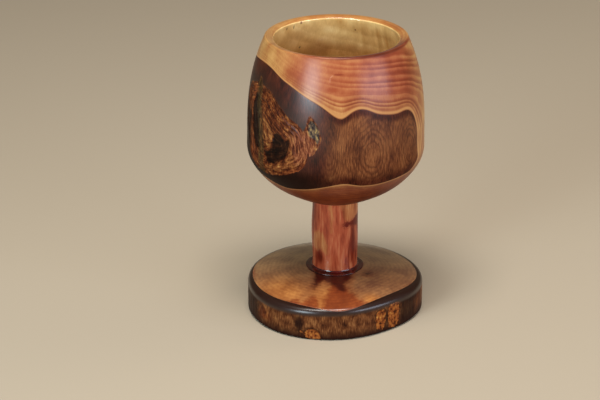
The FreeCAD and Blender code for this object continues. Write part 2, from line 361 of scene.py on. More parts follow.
# Profile of the bowl carried round the axis: mortise, seat, outside, rim and hollow. Under the bark the
# outside keeps to the log, which lies a shade deeper than the bark's thin edge
def makeBowl(material, polished):
    step = bowl["insideStep"]
    roof = stemTop + joints["endGap"]
    mortise = joints["mortiseRadius"]
    under = straightSection([(0, roof), (mortise, roof), (mortise, bowlBase), (bowl["seatRadius"], bowlBase)],
                            step)
    rim = smoothSection(aboveSeat(bowl["rim"]), bowl["rimStep"])
    hollow = smoothSection(aboveSeat(bowl["inside"]), step)
    section = np.vstack([under, outsideSection[1:], rim[1:], hollow[1:]])
    radius, height = section[:, :1], section[:, 1:]
    angle = allRound(bowl["columns"])
    rimStart = len(under) + len(outsideSection) - 1
    outside, rolled, inside = np.zeros_like(radius), np.zeros_like(radius), np.zeros_like(radius)
    outside[len(under):rimStart] = 1
    rolled[rimStart:rimStart + len(rim) - 1] = 1
    rolled *= radius < bowl["rim"][1][0]
    inside[rimStart + len(rim) - 1:] = 1
    inside[rimStart:][radius[rimStart:] <= bowl["rim"][3][0] + 0.12] = 1
    log = logRadius(angle, height)
    depth = log - radius
    hidden = 0.3        # the bark's edge overlaps the wood by this much
    sunk = outside * np.clip(-0.3 * depth, 0, 0.06)        # and the wood dips under it
    shaped = np.where(outside * (depth < -hidden) > 0, log + hidden, radius) - sunk
    outer, around = 1 - inside, np.abs(angle)
    stripes = spot(angle, height, (145, 121), (24, 10), 0.7) * (hills(angle / 2.6, height / 30, 21) - 0.3)
    arches = np.sin(8.5 * np.hypot((around - 180) / 52, (height - 96) / 19))
    hollowFloorShade = 1 - eased(104, 130, height)
    figure = (0.2 + 0.8 * eased(-45, 20, angle)) * (1 - 0.5 * eased(62, 84, angle))
    figure = figure * (1 - eased(112, 165, angle))
    figure = figure - 0.4 * spot(angle, height, (0, 126), (26, 8), 0.6)
    leftLip = 0.25 + 0.75 * eased(0.3, 1.7, np.abs(angle + 92) / 38)
    fields = {
        "depth": depth,
        "rings": growthRings(angle, height, depth),
        "inside": inside,
        "red": redness(angle, height) * (0.45 + 0.55 * eased(0.2, 2.0, depth))
               * (1 - 0.9 * rolled * eased(70, 100, around)),
        "figure": outer * figure + 0.35 * inside,        # how strongly the rings show
        "heart": outer * np.max(spots(angle, height, bowl["heart"]), 0),
        "rim": rolled * outer * eased(60, 100, around) * leftLip,        # paler wood over the back of the rim
        # painted shade: a dark band just under the front of the rim
        "lip": outer * eased(rimLevel - 1.3, rimLevel - 0.4, height) * eased(-30, 12, angle)
               * (1 - eased(72, 92, angle)),
        "low": 0.85 * outside * (1 - eased(66, 82, height)),        # darker, redder wood below the bark: partly its own colour, partly painted shade of the underside
        # darker in the hollow: painted shade towards its floor, with darker stripes, arches and a patch on
        # the right
        "deep": inside * (0.8 * hollowFloorShade + 0.5 * stripes + 0.27 * arches
                          + 0.25 * spot(angle, height, (112, 124), (34, 12), 0.8)),
        "arc": np.radians(angle) * bowl["bellyRadius"],
        "height": height,
    }
    piece = turnedPiece("bowlWood", shaped, angle, height, fields, material, ["bowl"])
    piece.data.materials.append(polished)
    finish = np.zeros(len(piece.data.polygons), np.int32)
    finish[int(np.argmax(section[:, 1])) * bowl["columns"]:] = 1        # from the top of the rim inwards
    piece.data.polygons.foreach_set("material_index", finish)
    return piece


# Where the wood is red heart rather than pale sapwood: a step round from the left, paler again on the right
def redness(angle, height):
    leaning = angle + 1.3 * np.clip(119 - height, 0, 10)
    return eased(-66, -18, leaning) * (1 - 0.95 * eased(52, 76, angle)) * (1 - eased(100, 150, angle))


bark = {
    "margin": 0.1,        # how far past the wood's edge the bark's own edge dips into the wood
    "sunk": 0.002,        # how far the sanded bark lies under the turned outline
    "angles": (-141.5, 70.5),
    "columns": 400,
    "rows": 120,
    # its edges are looked for from above the seat to below the rim, in so many steps
    "ladder": (12, 3, 500),
    "edgeRise": 3,        # how fast its thin edge comes up out of the wood, and how deep it starts
    "edgeDepth": 0.3,
    "leastLayer": 0.3,        # bark that stays under its hollows
    # places on the bowl's side, each as closed outlines of (angle, height): the flakes, a leaf-shaped scar
    # and its core, a black slab, a hole, and paler fibre beside the green streak, below the hole and right
    "outlines": {
        "flaky": [[
            (-80, 111), (-72, 113.5), (-65, 115), (-62.9, 118), (-58.9, 114.8), (-49, 113.4), (-40.7, 109),
            (-32, 104.5), (-25.3, 102), (-21, 99), (-18.6, 93), (-17.6, 87.3), (-20.6, 82.7), (-25.4, 80),
            (-38, 76.5), (-55, 74.6), (-69, 79), (-77, 88), (-83, 100),
        ]],
        "leaf": [[
            (-17.6, 106), (-15.3, 105.9), (-12.2, 103.2), (-9.6, 98.6), (-8.8, 96.3), (-11.3, 91.9),
            (-14.8, 88.6), (-18.5, 88.6), (-22.5, 92), (-23, 96.5), (-19.6, 101),
        ]],
        "leafCore": [[
            (-17.4, 103.2), (-15.1, 104.3), (-12.2, 102.4), (-10.2, 99.2), (-10.4, 95.6), (-12, 94),
            (-13.4, 96.4), (-16, 96.8), (-17.6, 99),
        ]],
        "slab": [[
            (-65.3, 109.6), (-60.6, 108.8), (-58.3, 101.5), (-57.5, 93.4), (-57.4, 86.4), (-62.2, 85.2),
            (-65.4, 88), (-68.2, 95.3), (-69, 103.3),
        ]],
        "hole": [[
            (-43.6, 94.4), (-39.8, 96), (-36.2, 94.6), (-34, 93.2), (-30.7, 94.3), (-31, 90), (-33.3, 86),
            (-36, 84), (-41.1, 82), (-47.6, 80.2), (-50.8, 82.6), (-52.6, 85.6), (-48.6, 86.3), (-45, 89.3),
        ]],
        "pale": [
            [(-55.5, 108), (-52, 101), (-47, 98), (-43.8, 94.6), (-46, 90), (-47.5, 87), (-50, 88),
             (-52.4, 94)],
            [(-47, 77.9), (-38, 79), (-30.5, 81.5), (-26, 87), (-25, 95), (-30, 97), (-31.5, 87), (-36, 82.4),
             (-46, 79.6)],
        ],
    },
    # angle, height and half sizes of the eyes that old buds left
    "eyes": [((24, 88.5), (8.5, 9)), ((55, 87), (7, 9)), ((-4, 91), (4.5, 10))],
    # places that lie deeper: how deep, and how far inside their outline
    "sunken": {"slab": (0.25, 0.8), "hole": (0.3, 0.8), "leafCore": (0.15, 0.6)},
    # places where the flakes are worn to salmon wood, and where they glow orange, as for the bowl's heart
    "bared": [(1, (-18.6, 92.5), (5, 6.5), 0.8), (0.9, (-24, 92), (5, 9), 0.8)],
    "embers": [(0.7, (-68, 83), (5, 6), 0.8), (0.6, (-69, 106), (3, 8), 0.8)],
}


# For each column, the lowest and the highest place where bark shows, from a fine ladder of heights, with the
# crossing between two rungs found by proportion
def barkLimits(angle):
    aboveBase, belowRim, steps = bark["ladder"]
    rungs = np.linspace(bowlBase + aboveBase, rimLevel - belowRim, steps)[:, None]
    thickness = turnedRadius(rungs) - logRadius(angle, rungs) + bark["margin"]
    above = thickness > 0
    low = np.argmax(above, 0)
    high = len(rungs) - 1 - np.argmax(above[::-1], 0)
    column = np.arange(angle.shape[1])

    def crossing(outer, inner):
        a, b = thickness[outer, column], thickness[inner, column]
        share = np.clip(a / np.where(a == b, 1, a - b), 0, 1)
        return rungs[outer, 0] + share * (rungs[inner, 0] - rungs[outer, 0])

    bottom = crossing(np.maximum(low - 1, 0), low)
    top = crossing(np.minimum(high + 1, len(rungs) - 1), high)
    return bottom, top, above.any(0)


# A lens over the gap in the wood: its outside is the lathe's outline with the bark's hollows and ridges in
# it, its back is the log's own surface, and the two meet all round just under the wood
def makeBowlBark(material):
    front = np.linspace(*bark["angles"], 4 * bark["columns"])[None]
    low, high, shows = barkLimits(front)
    front, low, high = front[:, shows], low[shows], high[shows]
    pick = np.linspace(0, front.shape[1] - 1, bark["columns"]).round().astype(int)
    angle, low, high = front[:, pick], low[pick], high[pick]
    share = np.linspace(0, 1, bark["rows"])[:, None]
    height = low + (high - low) * share
    angle = angle * np.ones_like(height)
    lathe = turnedRadius(height)
    log = logRadius(angle, height)
    layer = lathe - log
    girth = bowl["bellyRadius"]
    within = {name: insideAny(angle, height, outlines, girth) for name, outlines in bark["outlines"].items()}
    flaky = within["flaky"]
    arc = np.radians(angle) * girth
    rough = eased(0, 1.5, np.maximum(flaky, within["leaf"]))
    streaks = hills(flaky * 1.7, height * 0.22 + arc * 0.1, 3)
    flakes = hills(arc * 0.9 + streaks, height * 0.35, 5)
    hollow = rough * (0.05 + 0.22 * eased(0.45, 0.75, streaks) + 0.12 * flakes)
    hollow += sum(deep * eased(-0.3, full, within[name]) for name, (deep, full) in bark["sunken"].items())
    hollow = np.minimum(hollow, np.maximum(layer - bark["leastLayer"], 0))
    lift = np.clip(bark["edgeRise"] * layer, -bark["edgeDepth"], -bark["sunk"])
    outer = lathe + lift - hollow
    inner = np.minimum(log, outer - 0.02)
    edge = np.zeros(layer.shape, bool)
    edge[[0, -1]] = True
    edge[:, [0, -1]] = True
    inner[edge] = outer[edge]
    eyes = np.stack([np.hypot((angle - c[0]) / s[0], (height - c[1]) / s[1]) for c, s in bark["eyes"]]).min(0)
    # the dark corky rim of the patch, wider at its left end
    topBand = 1 - eased(0.3, 1.3, (high - height) / (4.5 + 10 * (1 - eased(-30, 0, angle))))
    lowBand = 0.85 * (1 - eased(1.2, 8, height - low))
    leftBand = 0.9 * (1 - eased(-13, 10, angle))
    fields = {
        **within,
        "eyes": eyes,
        "arc": arc,
        "height": height,
        "shade": np.max([topBand, lowBand, leftBand], 0),
        "sheen": (0.05 + 0.95 * eased(76, 100, height)) * (1 - 0.6 * eased(-14, 12, angle))
                 * (0.5 + 0.5 * eased(-78, -56, angle)),
        # near-black: painted shade low on the left, and a dark seam just outside the top of the flakes
        "black": np.maximum(0.95 * (1 - eased(76, 88, height)) * (1 - eased(-22, 8, angle)),
                            0.6 * eased(-7, -1, flaky) * eased(92, 100, height)),
        "outskirt": 0.9 * (1 - eased(-74, -67, angle)) * (1 - 0.8 * eased(97, 105, height)),
        "ember": sum(spots(angle, height, bark["embers"]))
                 + 0.5 * (1 - eased(0.3, 2.0, flaky)) * eased(-50, -25, angle) * (1 - eased(92, 99, height)),
        "green": 1 - eased(0.4, 1.0, np.abs(angle + 56 + 6.3 * eased(88, 118, height)) / 4.8),
        "bared": np.max(spots(angle, height, bark["bared"]), 0),
    }
    rows, columns = layer.shape
    inward = ~edge
    outerIndex = np.arange(rows * columns).reshape(rows, columns)
    innerIndex = outerIndex.copy()
    innerIndex[inward] = rows * columns + np.arange(inward.sum())
    points = np.vstack([placed(outer, angle, height), placed(inner[inward], angle[inward], height[inward])])
    quads = []
    for index, backwards in ((outerIndex, False), (innerIndex, True)):
        sides = [index[:-1, :-1], index[:-1, 1:], index[1:, 1:], index[1:, :-1]]
        quads.append(np.stack(sides[::-1] if backwards else sides, -1).reshape(-1, 4))
    fields = {field: np.r_[values.reshape(-1), values[inward]] for field, values in fields.items()}
    faces = np.vstack(quads).tolist()
    return makePiece("bowlBark", points, faces, fields, material, ["bowl_bark"])


foot = {
    "radius": 40.0,
    "edgeHeight": 14.6,        # where the domed top would meet the side
    "seatRadius": 13.65,
    "edgeRound": 2.8,
    "chamfer": 1.0,
    "hollowRadius": 31.0,
    "hollowDepth": 1.3,
    "mortiseFloor": 9.65,
    # angle, how far the bark's edge stands off the mean radius
    "edge": [(-180, -0.12), (-145, 0.2), (-112, 0.37), (-84, 0.17), (-58, 0.88), (-33, 1.18), (-8, 0.2),
             (15, -0.9), (41, -1.8), (66, -0.5), (88, 0.7), (115, 0.9), (148, 0.35)],
    # the same for the wood under it
    "log": [(-180, -2.3), (-145, -2.4), (-112, -1.6), (-84, -2.1), (-59, -2.1), (-37, -2.3), (-19, -2.1),
            (-5, -1.0), (10, -1.4), (27, -4.2), (45, -5.4), (61, -4.5), (84, -2.2), (115, -2.0), (148, -1.7)],
    "columns": 400,
    "rows": {"top": 59, "wall": 13, "base": 9},
    # stains on the top, as closed outlines of (angle, radius): warm wedges that have crept in from the edge,
    # and resin drawn into the grain round the stem
    "stains": [
        [(-33, 41), (-29, 35), (-24, 36.5), (-19, 31.5), (-14, 32.5), (-11.5, 36), (-11.5, 42)],
        [(-6, 42), (-5.5, 28), (-2, 22), (9, 22), (13, 27), (18, 30), (22, 36), (26, 42)],
        [(46, 42), (49, 37), (58, 36.6), (70, 37.2), (80, 38.6), (84, 42)],
        [(-104, 42), (-98, 38.2), (-88, 37.4), (-78, 39), (-76, 42)],
    ],
    "soot": [
        [(-40, 10), (-36, 16), (-29, 19.5), (-24.5, 24.5), (-20.5, 25), (-18, 19.5), (-12, 18.5), (-7, 20),
         (-2, 21), (2, 24), (7, 26.5), (12, 24.5), (15, 20), (22, 18.5), (30, 16), (36, 10)],
        [(50, 17), (57, 18.6), (65, 18), (60, 16.4)],
    ],
    # golden places on the top: strength, (angle, radius), half sizes, softness; and the dimmer back right
    "gold": [(1, (-45, 33), (24, 10), 0.85), (1, (-5, 34), (22, 14), 0.85), (1, (29, 35), (7, 4), 0.85)],
    "dim": [(1, (78, 27), (40, 12), 0.9)],
}
edgeStand = roundCurve(*zip(*foot["edge"]))
logStand = roundCurve(*zip(*foot["log"]))
domeCentre = ((foot["seatRadius"] ** 2 + footTop ** 2 - foot["radius"] ** 2 - foot["edgeHeight"] ** 2)
              / (2 * (footTop - foot["edgeHeight"])))
domeRadius = float(np.hypot(foot["seatRadius"], footTop - domeCentre))


# Height of the foot's top: a ball's surface, and at its rounded edge a circle that touches ball and side
def topOfFoot(radius, edge):
    inset = edge - foot["edgeRound"]
    centre = domeCentre + np.sqrt((domeRadius - foot["edgeRound"]) ** 2 - inset ** 2)
    touching = inset * domeRadius / (domeRadius - foot["edgeRound"])
    ball = domeCentre + np.sqrt(domeRadius ** 2 - radius ** 2)
    rounded = centre + np.sqrt(np.maximum(foot["edgeRound"] ** 2 - np.maximum(radius - inset, 0) ** 2, 0))
    return np.where(radius < touching, ball, rounded), centre


# Profile of the foot's wood carried round the axis, with its outer part stretched to the log at each angle
def makeFoot(material):
    angle = allRound(foot["columns"])
    edge, log = foot["radius"] + edgeStand(angle), foot["radius"] + logStand(angle)
    mortise, seat = joints["mortiseRadius"], foot["seatRadius"]
    inner = straightSection([(0, foot["mortiseFloor"]), (mortise, foot["mortiseFloor"]), (mortise, footTop),
                             (seat, footTop)], 1.2)
    outwards = shares(foot["rows"]["top"])
    topRadius = seat + (log - seat) * outwards
    topHeight, _ = topOfFoot(topRadius, edge)
    down = shares(foot["rows"]["wall"])
    bottom = np.maximum(0, log - edge + foot["chamfer"])
    wallRadius = log * np.ones_like(down)
    wallHeight = topHeight[-1:] * (1 - down) + bottom * down
    inwards = shares(foot["rows"]["base"])
    baseRadius = log + (foot["hollowRadius"] - log) * inwards
    baseHeight = bottom * (1 - eased(0, 0.3, inwards))
    under = straightSection([(foot["hollowRadius"], 0), (0, foot["hollowDepth"])], 1.6)[1:]
    wide = np.ones_like(angle)
    radius = np.vstack([inner[:, :1] * wide, topRadius, wallRadius, baseRadius, under[:, :1] * wide])
    height = np.vstack([inner[:, 1:] * wide, topHeight, wallHeight, baseHeight, under[:, 1:] * wide])
    angle = angle * np.ones_like(radius)
    girth = 30        # radius at which degrees on the top count as millimetres
    fields = {
        "depth": log - radius,
        "angle": angle,
        "stain": insideAny(angle, radius, foot["stains"], girth),
        "soot": insideAny(angle, radius, foot["soot"], girth),
        "gold": np.max(spots(angle, radius, foot["gold"]), 0),
        "dim": np.max(spots(angle, radius, foot["dim"]), 0),
    }
    return turnedPiece("footWood", radius, angle, height, fields, material, ["foot"])


footBark = {
    # places where the outer bark has come away, as closed outlines of (angle, height)
    "patches": [
        [(29.8, 4), (29.6, 9.5), (32, 11.6), (36.8, 11.2), (37.6, 7), (36.4, 2.6), (32, 2.2)],
        [(40.2, 3.2), (40, 11.6), (43, 13.2), (49, 12.6), (50, 7), (48.4, 2), (43, 1.4)],
        [(-22.4, 4), (-19.6, 3.6), (-16.8, 5.2), (-12.4, 5.2), (-9.2, 3.4), (-9.6, 0.6), (-16.5, 0.6),
         (-19, 2.2)],
        [(110, 4), (111, 9), (118, 10.5), (126, 8), (124, 4), (117, 3)],
        [(-150, 3), (-148, 7), (-139, 8), (-130, 6), (-134, 2)],
    ],
    # darker and orange places on the side, as for the bowl's heart
    "dark": [
        (0.95, (66, 8), (15, 16), 0.35), (0.8, (-23, 7.5), (3.5, 4), 0.8), (1, (-72, 8), (15, 12), 0.6),
        (0.5, (38.6, 7), (1.2, 6), 0.8),
    ],
    "embers": [(0.4, (75, 7), (6, 7), 0.9), (0.7, (-51, 6.3), (5.5, 3), 0.7)],
    "columns": 560,
    "rows": {"top": 26, "side": 39, "chamfer": 3, "base": 2, "back": 5},
    "overlap": 0.3,        # how far its thin edge lies over the wood
}


# Section of the foot's bark carried round the axis and closed on itself: it comes up out of the wood, follows
# the top and the rounded edge, goes down the side with its hollows, round the chamfer, and back up inside
def makeFootBark(material):
    angle = allRound(footBark["columns"])
    edge, log = foot["radius"] + edgeStand(angle), foot["radius"] + logStand(angle)
    start = log - footBark["overlap"]
    # closer towards the edge
    outwards = np.sin(np.linspace(0, np.pi / 2, footBark["rows"]["top"]))[:, None]
    topRadius = start + (edge - start) * outwards
    topHeight, turning = topOfFoot(topRadius, edge)
    # its thin edge starts inside the wood and comes up out of it
    topHeight = topHeight - 0.2 + 0.22 * eased(0, 0.4, topRadius - start)
    down = shares(footBark["rows"]["side"])
    sideHeight = turning + (foot["chamfer"] - turning) * down
    sideRadius = edge * np.ones_like(down)
    chamfer = shares(footBark["rows"]["chamfer"])
    chamferRadius = edge - foot["chamfer"] * chamfer
    chamferHeight = foot["chamfer"] * (1 - chamfer) * np.ones_like(edge)
    inside = np.minimum(log, edge - foot["chamfer"] - 0.05)
    inwards = shares(footBark["rows"]["base"])
    baseRadius = edge - foot["chamfer"] + (inside - edge + foot["chamfer"]) * inwards
    up = shares(footBark["rows"]["back"]) - 1 / footBark["rows"]["back"]
    backRadius = np.minimum(start, inside - 0.1) * (1 - up) + start * up
    backHeight = 0.3 + (topHeight[:1] - 0.5) * up
    radius = np.vstack([topRadius, sideRadius, chamferRadius, baseRadius, backRadius])
    height = np.vstack([topHeight, sideHeight, chamferHeight, np.zeros_like(baseRadius), backHeight])
    angle = angle * np.ones_like(radius)
    arc = np.radians(angle) * foot["radius"]
    onSide = (radius > edge - 0.01) * 1.0
    patch = insideAny(angle, height, footBark["patches"], foot["radius"])
    grooves = hills(arc / 0.8, height / 6, 11, 314)
    crumbs = hills(arc / 1.1, height / 1.3, 13, 228)
    hollow = onSide * (0.12 * grooves + 0.16 * eased(-0.5, 0.5, patch) * crumbs)
    hollow *= eased(0, 2, turning - height) * eased(0.8, 2, height)
    fields = {
        "arc": arc,
        "height": height,
        "patch": patch,
        "side": eased(0.5, 3.0, turning + 1.2 - height),
        "dark": np.max(spots(angle, height, footBark["dark"]), 0),
        "ember": np.max(spots(angle, height, footBark["embers"]), 0),
    }
    return turnedPiece("footBark", radius - hollow, angle, height, fields, material, ["foot_bark"],
                       ring=True)


stem = {
    "bottomRadius": 10.4,
    "middle": (10.65, 37.0),
    "topRadius": 10.4,
    "arris": 1.3,
    "unevenness": 0.12,        # a peeled branch isn't quite round
    "columns": 200,
    # outlines on its side, as (angle, height): the dark knot, and where the knife went in to the sapwood
    "knot": [
        (21.5, 43.9), (28, 45), (36, 44.9), (43, 44.9), (54, 46), (68, 47), (84, 47.4), (84, 42.6),
        (68, 41.8), (56, 42.2), (46, 42.6), (39, 42.7), (31, 42.3), (24, 42.5),
    ],
    "pale": [
        [(5, 56), (12, 53), (20, 50), (28, 45.4), (40, 45.4), (60, 45.6), (84, 46), (84, 57), (40, 58)],
        [(-72, 33), (-60, 38.5), (-40, 40), (-24, 37), (-17, 32.5), (-20, 29), (-38, 31), (-52, 30)],
        [(-17, 53.5), (-13, 50), (-12, 44), (-9, 40), (-6, 46), (-6, 52), (-9, 54)],
    ],
    # darker places, as for the bowl's heart: dark streaks in the wood, and painted shade on the two
    # turned-away sides at 70 and -66 degrees
    "deep": [
        (0.9, (49, 33), (9, 9), 0.8), (0.5, (70, 36), (14, 16), 0.8), (0.6, (-50, 27.5), (18, 3), 0.9),
        (0.6, (-66, 47), (18, 10), 0.8),
    ],
}


# Profile of the peeled branch carried round the axis with a tenon at each end. Its girth swells and shrinks
# by slow waves round and up it
def makeStem(material):
    arris, tenon, bevel = stem["arris"], joints["tenonRadius"], joints["tenonChamfer"]
    foot0, top = footTop + joints["glueLine"], bowlBase - joints["glueLine"]
    edge = arcPoints(np.array([stem["bottomRadius"] - arris, foot0]), heading(0),
                     np.array([stem["bottomRadius"], foot0 + arris]), 0.25)
    side = smoothSection([(stem["bottomRadius"], foot0 + arris, 90), (*stem["middle"], 90),
                          (stem["topRadius"], top, 90)], 0.5)
    low = straightSection([(0, stemBottom), (tenon - bevel, stemBottom), (tenon, stemBottom + bevel),
                           (tenon, foot0), (stem["bottomRadius"] - arris, foot0)], 1.2)
    high = straightSection([(stem["topRadius"], top), (tenon, top), (tenon, stemTop - bevel),
                            (tenon - bevel, stemTop), (0, stemTop)], 1.2)
    section = np.vstack([low, edge[1:], side[1:], high[1:]])
    radius, height = section[:, :1], section[:, 1:]
    angle = allRound(stem["columns"])
    turn = np.radians(angle)
    shown = eased(foot0 + 1, foot0 + 4, height) * (1 - eased(top - 5, top - 1, height))
    waves = (np.sin(2 * turn + height / 9) + 0.6 * np.sin(3 * turn - height / 6 + 1)
             + 0.5 * np.sin(turn + height / 4))
    uneven = stem["unevenness"] * shown * (waves - 0.9) * (radius > tenon + 0.5)
    angle, height, turn = np.broadcast_arrays(angle, height, turn)
    fields = {
        "arc": turn * stem["topRadius"],
        "height": height,
        "knot": outlineDistance(angle, height, stem["knot"], stem["topRadius"]),
        "pale": insideAny(angle, height, stem["pale"], stem["topRadius"]),
        "deep": sum(spots(angle, height, stem["deep"])),
    }
    return turnedPiece("stemWood", radius + uneven, angle, height, fields, material, ["stem"])


resin = {
    "ringRadius": 13.35,
    "ringEdge": 0.35,
    "ringRise": 1.3,
    # direction in which its top leaves the edge, and the one in which it meets the stem
    "edgeSlope": 172,
    "stemSlope": 100,
    "unevenness": 0.14,        # the ring was laid by hand
    "columns": 180,
}


# Profile of the resin carried round the axis: the filled mortise, then the ring on top, whose surface is two
# arcs that climb slowly from its edge and then steeply up the stem, as the liquid did
def makeFootResin(material):
    ring, tenon, arris = resin["ringRadius"], joints["tenonRadius"], stem["arris"]
    foot0 = footTop + joints["glueLine"]
    crest = footTop + resin["ringRise"]
    mortise = joints["mortiseRadius"]
    under = straightSection([(0, foot["mortiseFloor"]), (mortise, foot["mortiseFloor"]), (mortise, footTop),
                             (ring, footTop), (ring, footTop + resin["ringEdge"])], 1.2)
    slope = smoothSection([(ring, footTop + resin["ringEdge"], resin["edgeSlope"]),
                           (stem["bottomRadius"], crest, resin["stemSlope"])], 0.12)
    inside = straightSection([(stem["bottomRadius"], crest), (stem["bottomRadius"] - 0.3, crest - 0.3),
                              (stem["bottomRadius"] - arris, foot0), (tenon, foot0), (tenon, stemBottom),
                              (0, stemBottom)], 1.2)
    section = np.vstack([under, slope[1:], inside[1:]])
    angle = allRound(resin["columns"])
    radius, height = section[:, :1], section[:, 1:]
    turn = np.radians(angle)
    outer = eased(stem["bottomRadius"] + 0.2, ring, radius)
    wave = np.sin(3 * turn + 1) + 0.7 * np.sin(5 * turn) + 0.4 * np.sin(11 * turn)
    radius = radius + resin["unevenness"] * outer * (wave - 1.2) * 0.6
    return turnedPiece("footResin", radius, angle, height, {}, material, ["foot_joint_resin"])


# A material's tree, its fields by name, and its object coordinates in millimetres as the field "place"
def newMaterial(name, fields):
    material = bpy.data.materials.new(name)
    material.use_nodes = True
    tree = material.node_tree
    tree.nodes.clear()
    found = {field: addNode(tree, "Attribute", {"attribute_name": field}).outputs["Fac"] for field in fields}
    metres = addNode(tree, "TexCoord").outputs["Object"]
    found["place"] = addNode(tree, "VectorMath", {"operation": "SCALE", "Scale": perMetre}, {0: metres})
    return material, tree, found


# The surface that every finish here ends in: a Principled shader under a clear coat, with a bump of so many
# millimetres from one height
def finishSurface(tree, colour, height, depth, settings, links=None):
    bump = addNode(tree, "Bump", {"Strength": 1.0, "Distance": depth / perMetre}, {"Height": height})
    sources = {"Base Color": colour, "Normal": bump, **(links or {})}
    shader = addNode(tree, "BsdfPrincipled", settings, sources)
    addNode(tree, "OutputMaterial", {}, {"Surface": shader})


def layered(tree, base, layers):        # colours laid over one another, each as far as its mask lets it
    for mask, colour in layers:
        given = {7: linear(colour)} if isinstance(colour, str) else {}
        links = {0: mask, 6: base} if given else {0: mask, 6: base, 7: colour}
        base = addNode(tree, "Mix", {"data_type": "RGBA", **given}, links)
    return base


# Noise from 0 to 1 on stretched coordinates; size is how long a feature is along each axis, in the same unit
# as the coordinates
def grain(tree, vector, size, detail=2.0, roughness=0.5):
    scale = tuple(1 / length if length else 0.0 for length in size)
    moved = addNode(tree, "Mapping", {"Scale": scale}, {"Vector": vector})
    settings = {"Scale": 1.0, "Detail": detail, "Roughness": roughness}
    return addNode(tree, "TexNoise", settings, {"Vector": moved})


# Field value plus centred noise, turned into a soft step: 0 below low, 1 above high
def raggedStep(tree, value, noise, reach, low, high):
    shifted = addNode(tree, "Math", {"operation": "MULTIPLY_ADD", 1: reach}, {0: noise, 2: value})
    ends = {"From Min": low + reach / 2, "From Max": high + reach / 2}
    return addNode(tree, "MapRange", {"interpolation_type": "SMOOTHSTEP", **ends}, {"Value": shifted})


# several values multiplied together; those after the first may be plain numbers
def product(tree, factors):
    result = factors[0]
    for factor in factors[1:]:
        plain = {1: factor} if isinstance(factor, float) else {}
        links = {0: result} if plain else {0: result, 1: factor}
        result = addNode(tree, "Math", {"operation": "MULTIPLY", **plain}, links)
    return result


def summed(tree, parts):        # a weighted sum of values
    total = None
    for value, weight in parts:
        links = {0: value} if total is None else {0: value, 2: total}
        total = addNode(tree, "Math", {"operation": "MULTIPLY_ADD", 1: weight, 2: 0.0}, links)
    return total


# Cherry, turned, sanded and lacquered: growth rings show as contour lines where the side cuts them at a low
# angle, each with a dark late edge, over fine upright fibres, and a band of pale sapwood follows the bark
def makeBowlMaterial(name, coat, settings):
    names = ["depth", "rings", "inside", "red", "heart", "low", "figure", "lip", "rim", "deep", "arc",
             "height"]
    material, tree, field = newMaterial(name, names)
    wobble = grain(tree, field["place"], (20, 20, 9), 2)
    phase = addNode(tree, "Math", {"operation": "MULTIPLY_ADD", 1: 0.9}, {0: wobble, 2: field["rings"]})
    share = addNode(tree, "Math", {"operation": "FRACT"}, {0: phase})
    year = addNode(tree, "Math", {"operation": "FLOOR"}, {0: phase})
    chance = addNode(tree, "TexWhiteNoise", {"noise_dimensions": "1D"}, {"W": year})
    strength = addNode(tree, "MapRange", {"To Min": 0.5, "To Max": 1.0}, {"Value": chance})
    lateWood = [(0, 0.7), (0.12, 1.0), (0.35, 0.75), (0.6, 0.2), (0.85, 0.0), (1, 0.7)]
    late = addNode(tree, "ValToRGB", {"ramp": lateWood}, {0: share})
    shown = product(tree, [late, strength, field["figure"]])
    fibres = grain(tree, field["place"], (0.5, 0.5, 5), 3, 0.6)
    cloud = grain(tree, field["place"], (7, 7, 9), 3)
    tone = summed(tree, [(cloud, 0.6), (fibres, 0.25), (shown, 0.42), (field["heart"], 0.13)])
    edge = product(tree, [field["depth"], 0.5])
    ramps = {
        "gold": (tone, [(0.3, "#BE9259"), (0.45, "#AC7F48"), (0.62, "#965D34"), (0.85, "#7A4022")]),
        "red": (tone, [(0.3, "#AE7244"), (0.45, "#9E5A36"), (0.62, "#8E4628"), (0.8, "#7C341A"),
                       (0.95, "#6C2A14")]),
        "inner": (tone, [(0.3, "#FFE4A2"), (0.45, "#F0CC86"), (0.7, "#CE9F5A")]),
        "innerDeep": (tone, [(0.3, "#D09E58"), (0.45, "#B07C3C"), (0.7, "#8E5C2A")]),
        "lowWoodShaded": (tone, [(0.3, "#742E0C"), (0.5, "#541C06"), (0.8, "#3C1003")]),
        "lip": (tone, [(0.3, "#84482E"), (0.5, "#6E321E"), (0.8, "#562212")]),
        "rolled": (tone, [(0.3, "#C08A4C"), (0.5, "#AC7038"), (0.7, "#9A5A2C")]),
        "sapwood": (edge, [(0.0, 0.0), (0.04, 0.8), (0.09, 0.7), (0.13, 0.2), (0.2, 0.0)]),
        "scorch": (edge, [(0.0, 0.8), (0.04, 0.0)]),
    }
    paint = {key: addNode(tree, "ValToRGB", {"ramp": stops}, {0: source})
             for key, (source, stops) in ramps.items()}
    colour = layered(tree, paint["gold"], [
        (field["red"], paint["red"]),
        # painted shade of the underside, over the lower wood's own darker colour
        (field["low"], paint["lowWoodShaded"]),
        (paint["sapwood"], "#B8844E"),
        (paint["scorch"], "#5A2D1A"),
        # painted shade along the front lip
        (field["lip"], paint["lip"]),
        (field["rim"], paint["rolled"]),
        # the hollow, with painted shade towards its floor
        (field["inside"], layered(tree, paint["inner"], [(field["deep"], paint["innerDeep"])])),
        *[(smallMark(tree, field, mark), mark[5]) for mark in bowl["marks"]],
    ])
    height = summed(tree, [(shown, 0.5), (fibres, 1.0)])
    duller = addNode(tree, "Math", {"operation": "MULTIPLY_ADD", 1: -0.45, 2: coat}, {0: field["low"]})
    finishSurface(tree, colour, height, 0.02, settings, {"Coat Weight": duller})
    return material
